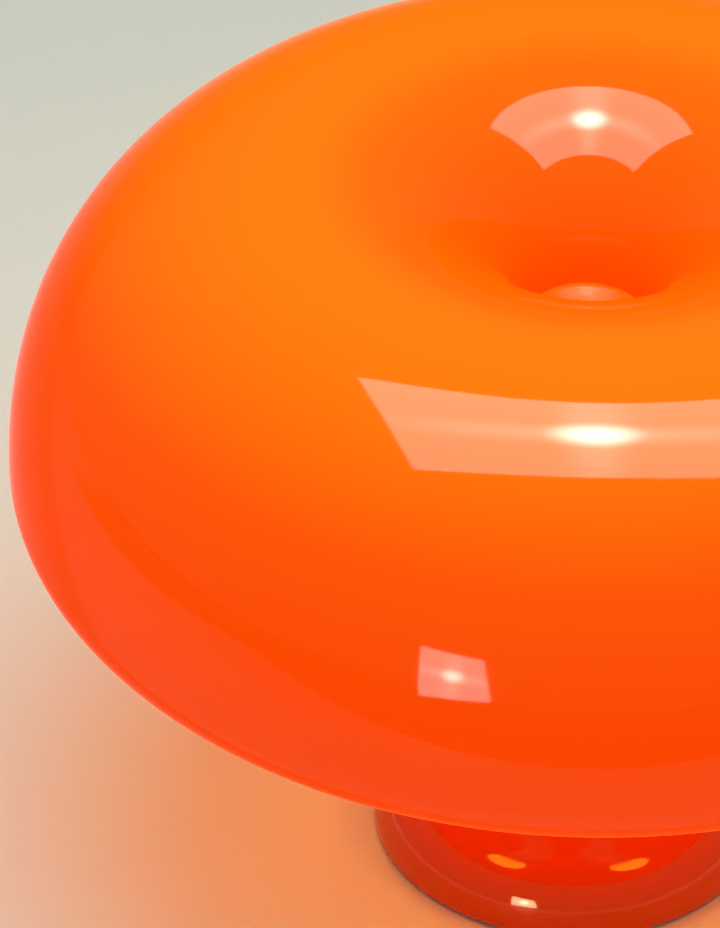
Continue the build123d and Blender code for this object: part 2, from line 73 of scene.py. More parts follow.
def flat_mesh(name, corners):
    """One flat face through its corners."""
    mesh = bpy.data.meshes.new(name)
    mesh.from_pydata([tuple(corner) for corner in corners], [], [tuple(range(len(corners)))])
    return mesh


def nodes_of(material):
    """Node tree of a material, emptied but for its output."""
    material.use_nodes = True
    tree = material.node_tree
    tree.nodes.clear()
    return tree, tree.nodes.new("ShaderNodeOutputMaterial")


def wire(tree, out_node, out_name, in_node, in_name):
    """Link between two named sockets."""
    tree.links.new(out_node.outputs[out_name], in_node.inputs[in_name])


table_left, table_right, table_front, table_back, table_corner = -0.79, 1.3, -0.475, 0.47, 0.09
outline = []
for x, y, first in (
    (table_left + table_corner, table_front + table_corner, 180),
    (table_right - table_corner, table_front + table_corner, 270),
    (table_right - table_corner, table_back - table_corner, 0),
    (table_left + table_corner, table_back - table_corner, 90),
):
    for step in range(9):
        turn = radians(first + 90 * step / 8)
        outline.append((x + table_corner * cos(turn), y + table_corner * sin(turn), 0))
table = linked("table_top", flat_mesh("table_top", outline))
table.matrix_world = round_to_view
table_finish = bpy.data.materials.new("pale_table")
tree, out = nodes_of(table_finish)
shader = tree.nodes.new("ShaderNodeBsdfPrincipled")
shader.inputs["Roughness"].default_value = 0.55
shader.inputs["Specular IOR Level"].default_value = 0.2
place = tree.nodes.new("ShaderNodeTexCoord")
clouds = tree.nodes.new("ShaderNodeTexNoise")
clouds.inputs["Scale"].default_value = 2.5
tint = tree.nodes.new("ShaderNodeMix")
tint.data_type = "RGBA"
tint.inputs["A"].default_value = (0.79, 0.85, 0.80, 1)
tint.inputs["B"].default_value = (0.82, 0.88, 0.83, 1)
wire(tree, place, "Object", clouds, "Vector")
wire(tree, clouds, "Fac", tint, "Factor")
wire(tree, tint, "Result", shader, "Base Color")
wire(tree, shader, "BSDF", out, "Surface")
table.data.materials.append(table_finish)

# The room's floor is seen only as mirrored. Daylight at its back is painted on: its colour is
# painted lighter towards the back, and a painted glow there fades out with distance.
room_reach = 9
room_level = -0.72
room_corners = [
    (-room_reach, -room_reach, room_level),
    (room_reach, -room_reach, room_level),
    (room_reach, room_reach, room_level),
    (-room_reach, room_reach, room_level),
]
room_floor = linked("room_floor", flat_mesh("room_floor", room_corners))
room_floor.matrix_world = round_to_view
room_floor.visible_camera = False
room_finish = bpy.data.materials.new("pale_room_floor")
tree, out = nodes_of(room_finish)
shader = tree.nodes.new("ShaderNodeBsdfPrincipled")
shader.inputs["Roughness"].default_value = 0.8
place = tree.nodes.new("ShaderNodeTexCoord")
split = tree.nodes.new("ShaderNodeSeparateXYZ")
far = tree.nodes.new("ShaderNodeMapRange")
far.interpolation_type = "SMOOTHSTEP"
far.inputs["From Min"].default_value = 1.0
far.inputs["From Max"].default_value = 2.2
tint = tree.nodes.new("ShaderNodeMix")
tint.data_type = "RGBA"
tint.inputs["A"].default_value = (0.42, 0.38, 0.22, 1)
tint.inputs["B"].default_value = (0.80, 0.80, 0.66, 1)
reach = tree.nodes.new("ShaderNodeVectorMath")
reach.operation = "LENGTH"
fade = tree.nodes.new("ShaderNodeMapRange")
fade.inputs["From Min"].default_value = 3.2
fade.inputs["From Max"].default_value = 8.8
fade.inputs["To Min"].default_value = 0.4
fade.inputs["To Max"].default_value = 0.0
# Painted daylight: emission on the floor, strongest at the back and fading with distance.
painted_daylight = tree.nodes.new("ShaderNodeMath")
painted_daylight.operation = "MULTIPLY"
shader.inputs["Emission Color"].default_value = (1, 1, 0.84, 1)
wire(tree, place, "Object", split, "Vector")
wire(tree, split, "Y", far, "Value")
wire(tree, far, "Result", tint, "Factor")
wire(tree, tint, "Result", shader, "Base Color")
tree.links.new(place.outputs["Object"], reach.inputs[0])
wire(tree, reach, "Value", fade, "Value")
tree.links.new(fade.outputs["Result"], painted_daylight.inputs[0])
tree.links.new(far.outputs["Result"], painted_daylight.inputs[1])
wire(tree, painted_daylight, "Value", shader, "Emission Strength")
wire(tree, shader, "BSDF", out, "Surface")
room_floor.data.materials.append(room_finish)


def glowing_screen(name, corners, edge, spot, beam, reach):
    """Flat diffuser with a hot spot and a cross of paler beams, seen only as a reflection."""
    centre = sum(corners, Vector()) / len(corners)
    across = (corners[1] - corners[0]).normalized()
    away = across.cross((corners[2] - corners[1])).normalized()
    facing = Matrix((across, away.cross(across), away)).transposed().to_4x4()
    facing.translation = centre
    flat = facing.inverted()
    screen = linked(name, flat_mesh(name, [flat @ corner for corner in corners]))
    screen.matrix_world = round_to_view @ facing
    finish = bpy.data.materials.new(name)
    tree, out = nodes_of(finish)
    place = tree.nodes.new("ShaderNodeTexCoord")
    total = None
    for size, weight in (
        ((reach * 0.4, reach * 0.4, 1), spot),
        ((reach * 2.2, reach * 0.35, 1), beam),
        ((reach * 0.35, reach * 2.2, 1), beam),
    ):
        scale = tree.nodes.new("ShaderNodeMapping")
        scale.inputs["Scale"].default_value = [1 / value for value in size]
        ball = tree.nodes.new("ShaderNodeTexGradient")
        ball.gradient_type = "SPHERICAL"
        soft = tree.nodes.new("ShaderNodeMapRange")
        soft.interpolation_type = "SMOOTHSTEP"
        soft.inputs["To Max"].default_value = weight
        sum_up = tree.nodes.new("ShaderNodeMath")
        sum_up.inputs[1].default_value = edge
        wire(tree, place, "Object", scale, "Vector")
        wire(tree, scale, "Vector", ball, "Vector")
        wire(tree, ball, "Fac", soft, "Value")
        tree.links.new(soft.outputs["Result"], sum_up.inputs[0])
        if total:
            tree.links.new(total.outputs["Value"], sum_up.inputs[1])
        total = sum_up
    glow = tree.nodes.new("ShaderNodeEmission")
    glow.inputs["Color"].default_value = (1, 0.98, 1.2, 1)
    wire(tree, total, "Value", glow, "Strength")
    wire(tree, glow, "Emission", out, "Surface")
    screen.data.materials.append(finish)
    screen.visible_camera = False
    screen.visible_diffuse = False
    screen.visible_shadow = False
    screen.visible_transmission = False


over_centre = Vector((0.023, 0.009, 1.02))
over_tilt = radians(11.6)
over_half_width = 0.407
over_half_depth = 0.269
over_across = Vector((over_half_width, 0, 0))
over_depth = Vector((0, cos(over_tilt), sin(over_tilt))) * over_half_depth
over_corners = [
    over_centre - over_across - over_depth,
    over_centre + over_across - over_depth,
    over_centre + over_across + over_depth,
    over_centre - over_across + over_depth,
]
glowing_screen("overhead_screen", over_corners, edge=9.5, spot=60, beam=7, reach=0.26)
low_corners = [
    Vector((-0.805, -1.416, 0.415)),
    Vector((-0.509, -1.552, 0.400)),
    Vector((-0.461, -1.583, 0.030)),
    Vector((-0.794, -1.436, -0.023)),
]
glowing_screen("low_screen", low_corners, edge=11, spot=32, beam=5, reach=0.2)

over_lamp = bpy.data.lights.new("overhead_light", "AREA")
over_lamp.shape = "RECTANGLE"
over_lamp.size = 1.1
over_lamp.size_y = 0.9
over_lamp.energy = 7.5
over_lamp.color = (1, 0.98, 0.94)
over_light = bpy.data.objects.new("overhead_light", over_lamp)
bpy.context.scene.collection.objects.link(over_light)
over_light.matrix_world = (
    round_to_view @ Matrix.Translation(over_centre) @ Matrix.Rotation(over_tilt, 4, "X")
)
over_light.visible_glossy = False
over_light.visible_camera = False

world = bpy.data.worlds.new("quiet_room")
bpy.context.scene.world = world
world.use_nodes = True
room_tone = world.node_tree.nodes["Background"]
room_tone.inputs["Color"].default_value = (0.92, 0.9, 0.74, 1)
sight = world.node_tree.nodes.new("ShaderNodeLightPath")
pale_wall = world.node_tree.nodes.new("ShaderNodeMapRange")
pale_wall.inputs["To Min"].default_value = 0.3
pale_wall.inputs["To Max"].default_value = 0.68
wire(world.node_tree, sight, "Is Camera Ray", pale_wall, "Value")
wire(world.node_tree, pale_wall, "Result", room_tone, "Strength")

# ---------------------------------------------------------------- shade
# One moulding of dyed acrylic: a dome that rolls over into a funnel, with a floor at its bottom
# that the knob clamps. It is polished all over. The bulbs' light coming through it is a painted
# glow, emission on its outer face.
shade_radius = 0.160
shade_wall = 0.0025
equator_height = 0.133
crown_radius = 0.0773
dome_height = 0.090
dome_power = 2.08
rim_radius = 0.138
rim_drop = 0.0195
rim_power = 2.0
rim_end = 74
funnel_depth = 0.0425
funnel_power = 1.78
throat_radius = 0.019
throat_length = 0.0155
throat_corner = 0.002
bore_radius = 0.0056
crown_height = equator_height + dome_height
throat_height = crown_height - funnel_depth
seat_top = throat_height - throat_length


def quarter(centre, half_width, half_height, power, inset, end, sides, steps):
    """Points of a rounded quarter about its centre, moved inwards along its normal."""
    points = []
    for step in range(steps + 1):
        angle = radians(end) * step / steps
        across = half_width * cos(angle) ** (2 / power)
        rise = half_height * sin(angle) ** (2 / power)
        normal_across = across ** (power - 1) / half_width**power
        normal_rise = rise ** (power - 1) / half_height**power
        normal = Vector((normal_across, normal_rise))
        normal.normalize()
        points.append(
            (
                centre[0] + sides[0] * (across - inset * normal.x),
                centre[1] + sides[1] * (rise - inset * normal.y),
            )
        )
    return points


def corner_arc(centre, radius, start, end, steps):
    """Points of an arc between two angles in degrees."""
    points = []
    for step in range(steps + 1):
        angle = radians(start + (end - start) * step / steps)
        points.append((centre[0] + radius * cos(angle), centre[1] + radius * sin(angle)))
    return points


def turned_mesh(name, profile, steps, closed):
    """Mesh turned about the lamp's axis from a profile of radius and height, faces outwards."""
    shape = bmesh.new()
    rings = []
    for radius, height in profile:
        if radius < 1e-6:
            rings.append([shape.verts.new((0, 0, height))])
            continue
        ring = []
        for k in range(steps):
            angle = 2 * pi * k / steps
            ring.append(shape.verts.new((radius * cos(angle), radius * sin(angle), height)))
        rings.append(ring)
    pairs = list(zip(rings, rings[1:]))
    if closed:
        pairs.append((rings[-1], rings[0]))
    for low, high in pairs:
        for k in range(steps):
            after = (k + 1) % steps
            face = [low[k % len(low)], low[after % len(low)]]
            face += [high[after % len(high)], high[k % len(high)]]
            # Where a ring is a single point on the axis, the face is a triangle.
            face = list(dict.fromkeys(face))
            if len(face) > 2:
                shape.faces.new(face)
    bmesh.ops.remove_doubles(shape, verts=shape.verts, dist=1e-7)
    bmesh.ops.recalc_face_normals(shape, faces=shape.faces)
    mesh = bpy.data.meshes.new(name)
    shape.to_mesh(mesh)
    shape.free()
    mesh.shade_smooth()
    return mesh


def shade_face(inset, steps):
    """Rim, dome and funnel of the shade on one of its two faces, from the rim to the throat."""
    rim_centre = (rim_radius, equator_height)
    rim_width = shade_radius - rim_radius
    rim = quarter(rim_centre, rim_width, rim_drop, rim_power, inset, rim_end, (1, -1), steps // 2)
    dome_centre = (crown_radius, equator_height)
    dome_width = shade_radius - crown_radius
    dome = quarter(dome_centre, dome_width, dome_height, dome_power, inset, 90, (1, 1), steps)
    funnel_centre = (crown_radius, throat_height)
    funnel_width = crown_radius - throat_radius
    funnel = quarter(funnel_centre, funnel_width, funnel_depth, funnel_power, inset, 90, (-1, 1), steps)
    return rim[::-1] + dome[1:] + funnel[::-1][1:]


rolled_edge = 0.001
outer_steps = 44
inner_steps = 30
outer = shade_face(0, outer_steps)
inner = shade_face(shade_wall, inner_steps)
floor_centre = (throat_radius - throat_corner, seat_top + throat_corner)
floor_corner = corner_arc(floor_centre, throat_corner, 0, -90, 6)
under_centre = (throat_radius + shade_wall - throat_corner, seat_top - shade_wall + throat_corner)
under_corner = corner_arc(under_centre, throat_corner, -90, 0, 6)
bore = [(bore_radius, seat_top), (bore_radius, seat_top - shade_wall)]
section = outer + floor_corner + bore + under_corner + inner[::-1]
lip_out = Vector(outer[0])
lip_in = Vector(inner[0])
lip_middle = (lip_out + lip_in) / 2
lip_down = Vector(((lip_in - lip_out).y, -(lip_in - lip_out).x)).normalized()
# The lip is rounded. Each point is a share of the wall's thickness and of the edge's depth.
lip_round = ((0.47, 0.35), (0.36, 0.8), (0.2, 1.0), (-0.2, 1.0), (-0.36, 0.8), (-0.47, 0.35))
section += [
    tuple(lip_middle + (lip_in - lip_out) * along + lip_down * down * rolled_edge)
    for along, down in lip_round
]
shade_piece = linked("shade_moulding", turned_mesh("shade_moulding", section, 192, closed=True))

# Only the face that looks away from the bulbs gets the painted glow.
# It faces away from the ring inside the dome.
painted_glow_mask = shade_piece.data.attributes.new("outer_face", "FLOAT", "POINT")
for vertex in shade_piece.data.vertices:
    from_spine = Vector((vertex.co.xy.length - crown_radius, vertex.co.z - equator_height))
    slope = Vector((vertex.normal.xy.dot(vertex.co.xy.normalized()), vertex.normal.z))
    painted_glow_mask.data[vertex.index].value = 1.0 if from_spine.dot(slope) > 0 else 0.0


def new_group(name, inputs, outputs):
    """Empty shader group with its named sockets."""
    group = bpy.data.node_groups.new(name, "ShaderNodeTree")
    for label, kind, value in inputs:
        socket = group.interface.new_socket(label, in_out="INPUT", socket_type=kind)
        socket.default_value = value
    for label, kind in outputs:
        group.interface.new_socket(label, in_out="OUTPUT", socket_type=kind)
    return group, group.nodes.new("NodeGroupInput"), group.nodes.new("NodeGroupOutput")


# Moulded plastic: slow clouds in the dye, faint rubbing, and a very shallow grain.
skin_group, skin_in, skin_out = new_group(
    "moulded_skin",
    [
        ("Colour", "NodeSocketColor", (0.8, 0.8, 0.8, 1)),
        ("Cloud Colour", "NodeSocketColor", (0.7, 0.7, 0.7, 1)),
        ("Cloud Scale", "NodeSocketFloat", 12),
        ("Roughness", "NodeSocketFloat", 0.1),
        ("Rubbing", "NodeSocketFloat", 0.05),
        ("Grain Scale", "NodeSocketFloat", 900),
    ],
    [("Colour", "NodeSocketColor"), ("Roughness", "NodeSocketFloat"), ("Height", "NodeSocketFloat")],
)
place = skin_group.nodes.new("ShaderNodeTexCoord")
clouds = skin_group.nodes.new("ShaderNodeTexNoise")
clouds.inputs["Detail"].default_value = 3
blend = skin_group.nodes.new("ShaderNodeMix")
blend.data_type = "RGBA"
rub = skin_group.nodes.new("ShaderNodeTexNoise")
rub.inputs["Scale"].default_value = 45
rub.inputs["Detail"].default_value = 6
rub.inputs["Roughness"].default_value = 0.7
rub_level = skin_group.nodes.new("ShaderNodeMath")
rub_level.operation = "MULTIPLY_ADD"
grain = skin_group.nodes.new("ShaderNodeTexNoise")
grain.inputs["Detail"].default_value = 2
wire(skin_group, place, "Object", clouds, "Vector")
wire(skin_group, place, "Object", rub, "Vector")
wire(skin_group, place, "Object", grain, "Vector")
wire(skin_group, skin_in, "Cloud Scale", clouds, "Scale")
wire(skin_group, skin_in, "Grain Scale", grain, "Scale")
wire(skin_group, clouds, "Fac", blend, "Factor")
wire(skin_group, skin_in, "Colour", blend, "A")
wire(skin_group, skin_in, "Cloud Colour", blend, "B")
wire(skin_group, blend, "Result", skin_out, "Colour")
skin_group.links.new(rub.outputs["Fac"], rub_level.inputs[0])
skin_group.links.new(skin_in.outputs["Rubbing"], rub_level.inputs[1])
skin_group.links.new(skin_in.outputs["Roughness"], rub_level.inputs[2])
wire(skin_group, rub_level, "Value", skin_out, "Roughness")
wire(skin_group, grain, "Fac", skin_out, "Height")


def skinned(name, group, values, relief, relief_depth):
    """Material whose colour, roughness and relief come from one of the surface groups."""
    material = bpy.data.materials.new(name)
    tree, out = nodes_of(material)
    surface = tree.nodes.new("ShaderNodeGroup")
    surface.node_tree = group
    for label, value in values.items():
        surface.inputs[label].default_value = value
    shader = tree.nodes.new("ShaderNodeBsdfPrincipled")
    bump = tree.nodes.new("ShaderNodeBump")
    bump.inputs["Strength"].default_value = relief
    bump.inputs["Distance"].default_value = relief_depth
    wire(tree, surface, "Colour", shader, "Base Color")
    wire(tree, surface, "Roughness", shader, "Roughness")
    wire(tree, surface, "Height", bump, "Height")
    wire(tree, bump, "Normal", shader, "Normal")
    wire(tree, shader, "BSDF", out, "Surface")
    return material, tree, shader


def dress(piece, material):
    """Gives one material to every slot of a piece."""
    if not piece.data.materials:
        piece.data.materials.append(material)
    for slot in piece.material_slots:
        slot.material = material


acrylic, tree, shader = skinned(
    "orange_acrylic",
    skin_group,
    {
        "Colour": (0.84, 0.088, 0.001, 1),
        "Cloud Colour": (0.82, 0.081, 0.001, 1),
        "Cloud Scale": 9,
        "Roughness": 0.03,
        "Rubbing": 0.04,
        "Grain Scale": 60,
    },
    0.03,
    0.0002,
)
shader.inputs["IOR"].default_value = 1.33
shader.inputs["Specular Tint"].default_value = (1, 0.82, 0.55, 1)
# The gloss is weaker at grazing angles, so that the outline keeps its deep orange.
facing = tree.nodes.new("ShaderNodeLayerWeight")
facing.inputs["Blend"].default_value = 0.5
gloss = tree.nodes.new("ShaderNodeMapRange")
gloss.inputs["From Min"].default_value = 0.32
gloss.inputs["From Max"].default_value = 0.6
gloss.inputs["To Min"].default_value = 0.5
gloss.inputs["To Max"].default_value = 0.02
wire(tree, facing, "Facing", gloss, "Value")
wire(tree, gloss, "Result", shader, "Specular IOR Level")
# Painted glow: emission stands in for the bulbs' light coming through the acrylic. Its colour follows
# height on the dome and radius in the funnel, and is yellower towards the crown.
place = tree.nodes.new("ShaderNodeTexCoord")
split = tree.nodes.new("ShaderNodeSeparateXYZ")
level = tree.nodes.new("ShaderNodeMapRange")
level.inputs["From Min"].default_value = equator_height - rim_drop
level.inputs["From Max"].default_value = crown_height
painted_dome_glow = tree.nodes.new("ShaderNodeValToRGB")
dome_stops = [
    (0.0, (0.60, 0.032, 0.0)),
    (0.12, (0.57, 0.019, 0.0)),
    (0.35, (0.62, 0.024, 0.0)),
    (0.7, (0.50, 0.034, 0.0)),
    (1.0, (0.40, 0.130, 0.0)),
]
flat_off = tree.nodes.new("ShaderNodeVectorMath")
flat_off.operation = "MULTIPLY"
flat_off.inputs[1].default_value = (1, 1, 0)
outwards = tree.nodes.new("ShaderNodeVectorMath")
outwards.operation = "LENGTH"
inside = tree.nodes.new("ShaderNodeMapRange")
inside.inputs["From Min"].default_value = throat_radius
inside.inputs["From Max"].default_value = crown_radius
painted_funnel_glow = tree.nodes.new("ShaderNodeValToRGB")
funnel_stops = [
    (0.0, (0.48, 0.038, 0.0)),
    (0.3, (0.46, 0.046, 0.0)),
    (0.7, (0.42, 0.074, 0.0)),
    (1.0, (0.40, 0.130, 0.0)),
]
for ramp, stops in ((painted_dome_glow, dome_stops), (painted_funnel_glow, funnel_stops)):
    while len(ramp.color_ramp.elements) < len(stops):
        ramp.color_ramp.elements.new(0.5)
    for element, (position, colour) in zip(ramp.color_ramp.elements, stops):
        element.position = position
        element.color = (*colour, 1)
in_funnel = tree.nodes.new("ShaderNodeMath")
in_funnel.operation = "LESS_THAN"
in_funnel.inputs[1].default_value = crown_radius
glow = tree.nodes.new("ShaderNodeMix")
glow.data_type = "RGBA"
wire(tree, place, "Object", split, "Vector")
wire(tree, split, "Z", level, "Value")
wire(tree, level, "Result", painted_dome_glow, "Fac")
tree.links.new(place.outputs["Object"], flat_off.inputs[0])
tree.links.new(flat_off.outputs["Vector"], outwards.inputs[0])
wire(tree, outwards, "Value", inside, "Value")
wire(tree, inside, "Result", painted_funnel_glow, "Fac")
tree.links.new(outwards.outputs["Value"], in_funnel.inputs[0])
wire(tree, in_funnel, "Value", glow, "Factor")
wire(tree, painted_dome_glow, "Color", glow, "A")
wire(tree, painted_funnel_glow, "Color", glow, "B")
wire(tree, glow, "Result", shader, "Emission Color")
# The painted glow is switched on only where outer_face is 1.
side = tree.nodes.new("ShaderNodeAttribute")
side.attribute_name = "outer_face"
wire(tree, side, "Fac", shader, "Emission Strength")
dress(shade_piece, acrylic)
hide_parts("shade")
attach(shade_piece, "shade")

# ---------------------------------------------------------------- knob
# A turned button of the same acrylic with a raised rim round a shallow dish. It is screwed down
# on the tube by a brass insert, over a soft washer.
knob_radius = 0.017
knob_base = 0.166
knob_floor_height = 0.175
dish_flat = 0.003
dish_radius = 0.020
dish_turn = 32
groove_outer = 0.0146
groove_inner = 0.01045
groove_top = 0.172
insert_bore = 0.00805
insert_seat = 0.1733
dish_edge = dish_flat + dish_radius * sin(radians(dish_turn))
dish_centre = (dish_flat, knob_floor_height + dish_radius)
knob_rim = (knob_radius - dish_edge) / (1 + sin(radians(dish_turn)))
rim_height = knob_floor_height + dish_radius - (dish_radius + knob_rim) * cos(radians(dish_turn))
dish = corner_arc(dish_centre, dish_radius, -90, -90 + dish_turn, 8)
rim = corner_arc((knob_radius - knob_rim, rim_height), knob_rim, 90 + dish_turn, 0, 12)
knob_profile = [(0, knob_floor_height)] + dish + rim[1:] + [(knob_radius, knob_base)]
knob_profile += [(groove_outer, knob_base), (groove_outer, groove_top)]
knob_profile += [(groove_inner, groove_top), (groove_inner, knob_base)]
knob_profile += [(insert_bore, knob_base), (insert_bore, insert_seat), (0, insert_seat)]
knob_piece = linked("knob_button", turned_mesh("knob_button", knob_profile, 96, closed=False))
knob_acrylic, tree, shader = skinned(
    "orange_acrylic_knob",
    skin_group,
    {
        "Colour": (0.84, 0.100, 0.002, 1),
        "Cloud Colour": (0.82, 0.092, 0.002, 1),
        "Cloud Scale": 40,
        "Roughness": 0.2,
        "Rubbing": 0.06,
        "Grain Scale": 400,
    },
    0.05,
    0.0001,
)
shader.inputs["IOR"].default_value = 1.49
shader.inputs["Specular IOR Level"].default_value = 0.12
shader.inputs["Specular Tint"].default_value = (1, 0.93, 0.62, 1)
# Painted glow: an even orange emission, as if the bulbs' light came through the acrylic.
shader.inputs["Emission Color"].default_value = (0.45, 0.05, 0.0, 1)
shader.inputs["Emission Strength"].default_value = 1
dress(knob_piece, knob_acrylic)
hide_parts("retaining_knob")
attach(knob_piece, "knob")

# ---------------------------------------------------------------- foot
# A trumpet-shaped moulding in a deeper red of the same acrylic, polished, with a rubber grommet in
# the cord's hole at the back.
foot_acrylic, tree, shader = skinned(
    "red_acrylic",
    skin_group,
    {
        "Colour": (0.66, 0.052, 0.001, 1),
        "Cloud Colour": (0.62, 0.046, 0.001, 1),
        "Cloud Scale": 15,
        "Roughness": 0.04,
        "Rubbing": 0.05,
        "Grain Scale": 120,
    },
    0.03,
    0.0002,
)
shader.inputs["IOR"].default_value = 1.49
shader.inputs["Specular IOR Level"].default_value = 0.8
shader.inputs["Specular Tint"].default_value = (1, 0.7, 0.3, 1)
# A faint even painted glow of deep red: emission on a part that is no lamp.
shader.inputs["Emission Color"].default_value = (0.08, 0.002, 0.0, 1)
shader.inputs["Emission Strength"].default_value = 1
dress(nodes["foot"], foot_acrylic)

# ---------------------------------------------------------------- bulbs
# Four small frosted globe bulbs, lit. Each glass is blown in one piece and cemented into its cap.
bulb_height = 0.139
globe_radius = 0.0225
globe_centre = 0.094
glass_wall = 0.0008
neck_radius = 0.00595
neck_fillet = 0.013
neck_start = 0.0575
bulb_turns = [-90, 0, 90, 180]
bulb_numbers = range(1, len(bulb_turns) + 1)


def glass_curve(inset, steps):
    """Neck, flare and globe of the glass on one face, as radius and distance along the bulb."""
    neck = neck_radius - inset
    bend = neck_fillet + inset
    globe = globe_radius - inset
    turn = acos((neck + bend) / (globe + bend))
    bend_start = globe_centre - sqrt((globe + bend) ** 2 - (neck + bend) ** 2)
    points = [(neck, neck_start)]
    for step in range(steps // 2 + 1):
        angle = turn * step / (steps // 2)
        points.append((neck + bend * (1 - cos(angle)), bend_start + bend * sin(angle)))
    for step in range(1, steps + 1):
        angle = turn - (turn + pi / 2) * step / steps
        points.append((globe * cos(angle), globe_centre - globe * sin(angle)))
    return points


glass_profile = glass_curve(0, 28)[:-1] + [(0, globe_centre + globe_radius)]
glass_profile += [(0, globe_centre + globe_radius - glass_wall)] + glass_curve(glass_wall, 20)[::-1][1:]
frosted, tree, shader = skinned(
    "lit_frosted_glass",
    skin_group,
    {
        "Colour": (0.95, 0.80, 0.55, 1),
        "Cloud Colour": (0.92, 0.76, 0.5, 1),
        "Cloud Scale": 60,
        "Roughness": 0.22,
        "Rubbing": 0.1,
        "Grain Scale": 2500,
    },
    0.1,
    0.00005,
)
place = tree.nodes.new("ShaderNodeTexCoord")
flat_off = tree.nodes.new("ShaderNodeVectorMath")
flat_off.operation = "MULTIPLY"
flat_off.inputs[1].default_value = (1, 1, 0)
outwards = tree.nodes.new("ShaderNodeVectorMath")
outwards.operation = "LENGTH"
along = tree.nodes.new("ShaderNodeMapRange")
along.inputs["From Min"].default_value = 0.071
along.inputs["From Max"].default_value = 0.08
heat = tree.nodes.new("ShaderNodeValToRGB")
heat.color_ramp.elements[0].color = (0.02, 0.004, 0.0, 1)
heat.color_ramp.elements[1].color = (1.0, 0.45, 0.025, 1)
tree.links.new(place.outputs["Object"], flat_off.inputs[0])
tree.links.new(flat_off.outputs["Vector"], outwards.inputs[0])
wire(tree, outwards, "Value", along, "Value")
wire(tree, along, "Result", heat, "Fac")
wire(tree, heat, "Color", shader, "Emission Color")
shader.inputs["Emission Strength"].default_value = 7.4
for number, turn in zip(bulb_numbers, bulb_turns):
    glass = turned_mesh(f"globe_{number}", glass_profile, 64, closed=False)
    glass.transform(Matrix.Rotation(radians(90), 4, "Y"))
    glass.transform(Matrix.Rotation(radians(turn), 4, "Z"))
    glass.transform(Matrix.Translation((0, 0, bulb_height)))
    globe = linked(f"globe_{number}", glass)
    dress(globe, frosted)
    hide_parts(f"bulb_glass_{number}")
    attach(globe, f"bulb_{number}")

# ---------------------------------------------------------------- bulb caps
# Rolled brass screw caps, washed with nickel, each cemented on its glass. Rounded rings stand in
# for the thread that is rolled into the thin wall.
metal_group, metal_in, metal_out = new_group(
    "metal_skin",
    [
        ("Colour", "NodeSocketColor", (0.7, 0.7, 0.7, 1)),
        ("Streak Colour", "NodeSocketColor", (0.6, 0.6, 0.6, 1)),
        ("Streak Scale", "NodeSocketFloat", 300),
        ("Roughness", "NodeSocketFloat", 0.3),
        ("Rubbing", "NodeSocketFloat", 0.2),
        ("Grain Scale", "NodeSocketFloat", 1500),
    ],
    [("Colour", "NodeSocketColor"), ("Roughness", "NodeSocketFloat"), ("Height", "NodeSocketFloat")],
)
place = metal_group.nodes.new("ShaderNodeTexCoord")
stretch = metal_group.nodes.new("ShaderNodeMapping")
stretch.inputs["Scale"].default_value = (1, 1, 0.12)
streaks = metal_group.nodes.new("ShaderNodeTexNoise")
streaks.inputs["Detail"].default_value = 4
streaks.inputs["Roughness"].default_value = 0.65
blend = metal_group.nodes.new("ShaderNodeMix")
blend.data_type = "RGBA"
rub_level = metal_group.nodes.new("ShaderNodeMath")
rub_level.operation = "MULTIPLY_ADD"
grain = metal_group.nodes.new("ShaderNodeTexNoise")
grain.inputs["Detail"].default_value = 2
wire(metal_group, place, "Object", stretch, "Vector")
wire(metal_group, stretch, "Vector", streaks, "Vector")
wire(metal_group, place, "Object", grain, "Vector")
wire(metal_group, metal_in, "Streak Scale", streaks, "Scale")
wire(metal_group, metal_in, "Grain Scale", grain, "Scale")
wire(metal_group, streaks, "Fac", blend, "Factor")
wire(metal_group, metal_in, "Colour", blend, "A")
wire(metal_group, metal_in, "Streak Colour", blend, "B")
wire(metal_group, blend, "Result", metal_out, "Colour")
metal_group.links.new(streaks.outputs["Fac"], rub_level.inputs[0])
metal_group.links.new(metal_in.outputs["Rubbing"], rub_level.inputs[1])
metal_group.links.new(metal_in.outputs["Roughness"], rub_level.inputs[2])
wire(metal_group, rub_level, "Value", metal_out, "Roughness")
wire(metal_group, grain, "Fac", metal_out, "Height")


def metal(name, colour, streak, streak_scale, roughness, relief):
    """Plated or bare metal with fine streaks."""
    values = {
        "Colour": (*colour, 1),
        "Streak Colour": (*streak, 1),
        "Streak Scale": streak_scale,
        "Roughness": roughness,
        "Rubbing": 0.18,
        "Grain Scale": 1800,
    }
    material, tree, shader = skinned(name, metal_group, values, relief, 0.00005)
    shader.inputs["Metallic"].default_value = 1
    return material


cap_metal = metal("nickel_washed_brass", (0.78, 0.70, 0.52), (0.70, 0.60, 0.42), 400, 0.18, 0.1)
for number in bulb_numbers:
    dress(nodes[f"bulb_cap_{number}"], cap_metal)

# ---------------------------------------------------------------- lamp holders
# Moulded holders of pale heat-proof plastic, each with a plain brass sleeve and a contact button,
# screwed to the bracket from inside.


def moulded(name, colour, cloud, roughness, relief, grain_scale):
    """Plain moulded plastic or rubber with a fine surface."""
    values = {
        "Colour": (*colour, 1),
        "Cloud Colour": (*cloud, 1),
        "Cloud Scale": 70,
        "Roughness": roughness,
        "Rubbing": 0.15,
        "Grain Scale": grain_scale,
    }
    return skinned(name, skin_group, values, relief, 0.0001)[0]


